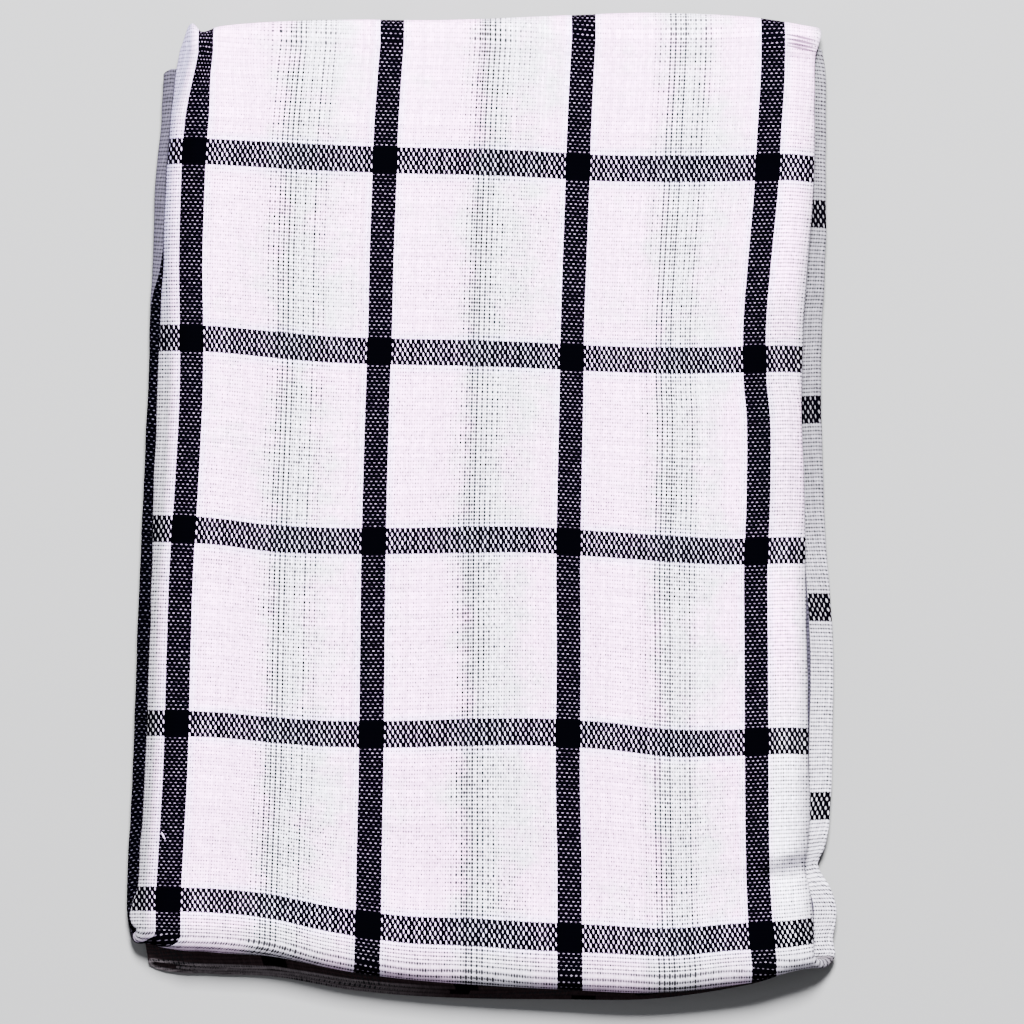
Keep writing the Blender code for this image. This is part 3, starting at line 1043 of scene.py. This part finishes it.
GREY_SIDE_BEGINS = (0.42, 0.56)
GREY_SIDE_ENDS = (0.98, 0.7)
GREY_SIDE = 0.55
HALO_GREY = 0.35
Blotches = namedtuple("Blotches", "scale grey")
BLOTCHES = (Blotches(2.3, 1.1), Blotches(11.0, 0.7))
GREY_MASK = (0.0, 0.8)
BESIDE_WARP = (9.0, 5.0)
BESIDE_WEFT = (6.0, 3.0)
BESIDE_SHARE = 0.6
LILAC_BEGINS = (2.6, 3.8)
PLAIN_NEAR_END = (1.6, 0.8)
LEFT_FOLD_SHADE = (-0.06, -0.13)
RIGHT_FOLD_SHADE = (3.17, 3.27)
NEAR_FOLD_SHADE = (TOP_STARTS_AT + 6.0, TOP_STARTS_AT)
NEAR_FOLD_SHADE_SHARE = 0.7
Patch = namedtuple("Patch", "across along half_across half_along share")
SHADE_PATCHES = (Patch(3.13, 2.7, 0.16, 0.65, 0.5), Patch(3.17, 0.35, 0.14, 0.06, 0.8))
UNDER_BEGINS = (INNER_LENGTH, INNER_LENGTH + 1.5)
UNDER_ENDS = (TOP_STARTS_AT + 0.5, INNER_LENGTH + 1.0)
UNDER_SHARE = 0.85
LAST_HEM = (CLOTH_LENGTH - 12.0, CLOTH_LENGTH - 7.0)


def unshaded_white(nodes, weave, halo):
    """The pink, grey and blue whites of the flat top."""
    grey_side = nodes.step(weave.share, *GREY_SIDE_BEGINS)
    grey_side = grey_side * nodes.step(weave.share, *GREY_SIDE_ENDS)
    greyness = grey_side * GREY_SIDE + halo * HALO_GREY
    for blotches in BLOTCHES:
        cloud = nodes.cloud(weave.cloth, blotches.scale)
        greyness = greyness + (cloud - 0.5) * blotches.grey
    white = nodes.mix(nodes.step(greyness, *GREY_MASK), PINK_WHITE, GREY_WHITE)
    beside_warp = nodes.step(weave.warp_from_stripe, *BESIDE_WARP)
    beside_weft = nodes.step(weave.weft_from_stripe, *BESIDE_WEFT)
    white = nodes.mix(beside_warp.higher(beside_weft) * BESIDE_SHARE, white, BLUE_WHITE)
    plain = nodes.step(weave.across, *RIGHT_EDGE) * nodes.step(weave.along, *PLAIN_NEAR_END)
    return nodes.mix(plain, white, GREY_WHITE)


def white_tones(nodes, weave, halo):
    """The white yarns with painted shade laid over on folds, creases, the inner strip and the
    turned-under ends.
    """
    white = unshaded_white(nodes, weave, halo)
    # Painted shade on the left fold.
    left_shade = nodes.mix(nodes.step(weave.along, *LILAC_BEGINS), LEFT_SHADE_WHITE, LILAC_SHADE_WHITE)
    white = nodes.mix(nodes.step(weave.across, *LEFT_FOLD_SHADE), white, left_shade)
    # Painted shade on the right fold, the crease and hollow patches, and the near fold.
    shaded = nodes.step(weave.across, *RIGHT_FOLD_SHADE)
    for patch in SHADE_PATCHES:
        dx, dy = weave.across - patch.across, weave.along - patch.along
        shaded = shaded.higher(oval(nodes, dx, dy, patch.half_across, patch.half_along) * patch.share)
    shaded = shaded.higher(nodes.step(weave.length, *NEAR_FOLD_SHADE) * NEAR_FOLD_SHADE_SHARE)
    white = nodes.mix(shaded, white, FOLD_SHADE_WHITE)
    # Painted shade on the inner strip's left side.
    white = nodes.mix(weave.inner_left, white, INNER_SHADE_WHITE)
    # Painted deep shade on what is turned under and on the last hem, with its last strand less
    # dark.
    turned_under = nodes.step(weave.length, *UNDER_ENDS) * nodes.step(weave.length, *UNDER_BEGINS)
    last_hem = nodes.step(weave.length, *LAST_HEM)
    white = nodes.mix(last_hem.higher(turned_under * UNDER_SHARE), white, HEM_SHADE)
    return nodes.mix(weave.hem_edge, white, HEM_EDGE_SHADE)


# The patches are painted shade in a hollow and a crease.
print(len(SHADE_PATCHES), "worn patches besides the folds")

# %% [markdown]
# ## Light on the yarns
#
# The floats are brightest on their crowns, and no two yarns are quite alike. On the fold edges
# the rows stand out more in painted shade. Little light gets into the grooves beside the top,
# between the strips and into the four puckers at the far right corner. Soft lamps alone would
# leave these too pale, so the share of light is worked into the colour.

# %% Light on the yarns
LEAST_SHADE = 0.42
CROWN_SHADE = 0.28
YARN_SHADE = 0.35
SPECKLE_SHADE = 0.25
WARP_SEED = 11.0
WEFT_SEED = 13.0
SPECKLE_SHIFT = 17.0
EDGE_CROWN_SHADE = 0.5
EDGE_ROW_SHADE = 0.75
EDGE_LOSS = 0.075

GROOVE_MASK = (0.9, 0.2)
GROOVE_DEPTH = 0.6
FAR_END_MASK = (-1.0, -3.0)
FAR_END_DEPTH = 0.67
TUCKED_DEPTH = 0.74
PUCKERS = (4.669, 4.652, 4.637, 4.625)
PUCKER_ACROSS = 3.149
PUCKER_SLANT = 0.1
PUCKER_HALF_SIZE = (0.08, 0.0055)
PUCKER_DEPTH = 0.8


def in_folds(nodes, weave):
    """The share of light that reaches the cloth in grooves and puckers."""
    groove = weave.inner * nodes.step(weave.outside, *GROOVE_MASK) * GROOVE_DEPTH
    far_end = nodes.step(weave.along, *FAR_END_MASK)
    at_far_end = weave.inner * (1 - weave.inner_left) * far_end * FAR_END_DEPTH
    tucked = weave.inner_left * (1 - weave.dark_warp) * TUCKED_DEPTH
    light = (1 - groove) * (1 - at_far_end) * (1 - tucked)
    for pucker in PUCKERS:
        dx = weave.across - PUCKER_ACROSS
        dy = weave.along - pucker + dx * PUCKER_SLANT
        light = light * (1 - PUCKER_DEPTH * oval(nodes, dx, dy, *PUCKER_HALF_SIZE))
    return light


def yarn_shade(nodes, weave, crown):
    """How bright each bit of white yarn is."""
    warp_yarn, weft_yarn = weave.warp.floor(), weave.weft.floor()
    each_yarn = nodes.random(warp_yarn, WARP_SEED) * nodes.random(weft_yarn, WEFT_SEED)
    speckle = nodes.random(warp_yarn + SPECKLE_SHIFT, weft_yarn)
    shade = LEAST_SHADE + CROWN_SHADE * crown + YARN_SHADE * each_yarn + SPECKLE_SHADE * speckle
    from_row = (weave.weft - weft_yarn - 0.5) * 2
    # Painted shade between the rows on the fold edges.
    on_edges = crown * EDGE_CROWN_SHADE - from_row ** 2 * EDGE_ROW_SHADE - EDGE_LOSS
    return (shade + weave.edges * on_edges) * in_folds(nodes, weave)


print(len(PUCKERS), "puckers")

# %% [markdown]
# ## The woven cotton
#
# Now the parts come together: white yarns in their light, dark gaps, and the dark stripes over
# both. Cotton is matt, so it has no gloss at all. Bump lifts the crowns and sinks the gaps.

# %% Woven cotton
NAVY_BLACK = (0.0003, 0.0003, 0.0007, 1.0)
SOLID_BLACK = (0.0002, 0.0002, 0.0005, 1.0)
# Gaps between yarns are painted dark, as the shade seen through the weave.
GAP_DARK = (0.012, 0.012, 0.014, 1.0)
BUMP_HEIGHT = Varied(0.75, 0.25)
BUMP_STRENGTH = 0.4
BUMP_DISTANCE = 0.00015
MATT = 0.9
NO_GLOSS = 0.0


def woven_cotton():
    """Plain-woven cotton with its check, its open stripes and its bump."""
    material = bpy.data.materials.new("woven_cotton")
    nodes = Nodes(material)
    weave = weave_coordinates(nodes)
    dark, crown, each_square = dark_stripes(nodes, weave)
    gap, halo = open_stripes(nodes, weave)
    tones = white_tones(nodes, weave, halo)
    white = nodes.darken(tones, yarn_shade(nodes, weave, crown))
    solid = (weave.dark_warp * weave.dark_weft).higher(weave.inner_left)
    cotton = nodes.mix(gap, white, GAP_DARK)
    cotton = nodes.mix(dark, cotton, nodes.mix(solid, NAVY_BLACK, SOLID_BLACK))
    nodes.fill(nodes.shader.inputs["Base Color"], cotton)
    height = crown * vary(BUMP_HEIGHT, each_square) - gap
    inputs = {"Strength": BUMP_STRENGTH, "Distance": BUMP_DISTANCE, "Height": height}
    nodes.fill(nodes.shader.inputs["Normal"], nodes.add("ShaderNodeBump", None, inputs)["Normal"])
    nodes.fill(nodes.shader.inputs["Roughness"], MATT)
    nodes.fill(nodes.shader.inputs["Specular IOR Level"], NO_GLOSS)
    return material


towel.data.materials.append(woven_cotton())
print("woven cotton has", len(towel.data.materials[0].node_tree.nodes), "nodes")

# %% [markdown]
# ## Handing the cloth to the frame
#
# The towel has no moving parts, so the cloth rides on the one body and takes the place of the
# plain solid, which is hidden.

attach(towel, "root")
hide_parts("towel")

# %% [markdown]
# ## The floor
#
# The towel lies on a plain pale floor, a flat grid just under it. The floor is only the stage.

# %% Floor
FLOOR_SIZE = 4.0
FLOOR_COLOUR = (0.15, 0.152, 0.156, 1.0)
FLOOR_ROUGHNESS = 0.9


def pale_floor():
    """A wide plain floor just under the towel."""
    bm = bmesh.new()
    bmesh.ops.create_grid(bm, x_segments=2, y_segments=2, size=FLOOR_SIZE / 2)
    mesh = bpy.data.meshes.new("floor")
    bm.to_mesh(mesh)
    bm.free()
    floor = bpy.data.objects.new("floor", mesh)
    bpy.context.scene.collection.objects.link(floor)
    material = bpy.data.materials.new("floor_paint")
    nodes = Nodes(material)
    nodes.fill(nodes.shader.inputs["Base Color"], FLOOR_COLOUR)
    nodes.fill(nodes.shader.inputs["Roughness"], FLOOR_ROUGHNESS)
    mesh.materials.append(material)
    return floor


floor = pale_floor()
print("floor is", FLOOR_SIZE, "m wide")

# %% [markdown]
# ## The light
#
# Three soft square lamps keep the attention on the weave. The strong one stands beyond the far
# fold, so the near end falls into shade as on the real towel, and two weak ones fill in. A dim
# sky lightens the shadows all round.

# %% Lights
Light = namedtuple("Light", "name place size watts colour")
LIGHTS = (
    Light("key_light", (0.05, 0.8, 1.2), 0.4, 240.0, (1.0, 0.99, 0.985)),
    Light("fill_light", (-0.9, 0.1, 1.0), 1.0, 5.0, (0.97, 0.98, 1.0)),
    Light("front_light", (0.4, -1.0, 1.0), 1.0, 3.0, (1.0, 0.99, 0.98)),
)
SKY_COLOUR = (0.95, 0.96, 1.0, 1.0)
SKY_STRENGTH = 0.35


def soft_light(light):
    """A square softbox aimed at the towel."""
    data = bpy.data.lights.new(light.name, "AREA")
    data.size = light.size
    data.energy = light.watts
    data.color = light.colour
    lamp = bpy.data.objects.new(light.name, data)
    lamp.location = light.place
    lamp.rotation_euler = (-Vector(light.place)).to_track_quat("-Z", "Y").to_euler()
    bpy.context.scene.collection.objects.link(lamp)


for light in LIGHTS:
    soft_light(light)
world = bpy.data.worlds.new("studio")
world.use_nodes = True
sky = world.node_tree.nodes["Background"]
sky.inputs["Color"].default_value = SKY_COLOUR
sky.inputs["Strength"].default_value = SKY_STRENGTH
bpy.context.scene.world = world
print(len(LIGHTS), "lights")

# %% [markdown]
# ## The camera
#
# A long lens far above keeps both ends of the towel at the same scale. It is tipped a degree
# and a half towards the near fold, so that the fold's rounding and the ends under it show.

# %% Camera
FRAME_WIDTH = 236.3
SENSOR_WIDTH = 36.0
LENS = 300.0
TIP_DEGREES = 1.5
AIM = (6.35, -1.96, 12.5)


def photo_camera():
    """The camera above the towel, its frame as wide as the photo's."""
    distance = FRAME_WIDTH * LENS / SENSOR_WIDTH
    tip = math.radians(TIP_DEGREES)
    aim = Vector((AIM[0] - DRAWING_MIDDLE[0], AIM[1] - DRAWING_MIDDLE[1], AIM[2]))
    back = Vector((0, -math.sin(tip), math.cos(tip)))
    data = bpy.data.cameras.new("camera")
    data.lens = LENS
    data.sensor_width = SENSOR_WIDTH
    camera = bpy.data.objects.new("camera", data)
    camera.location = (aim + back * distance) * METRES_PER_MM
    camera.rotation_euler = (tip, 0, 0)
    bpy.context.scene.collection.objects.link(camera)
    bpy.context.scene.camera = camera
    return distance


print("camera is", round(photo_camera()), "mm away")

# %% [markdown]
# ## Done
#
# Last, the scene is brought up to date.

# %% Finish
bpy.context.view_layer.update()
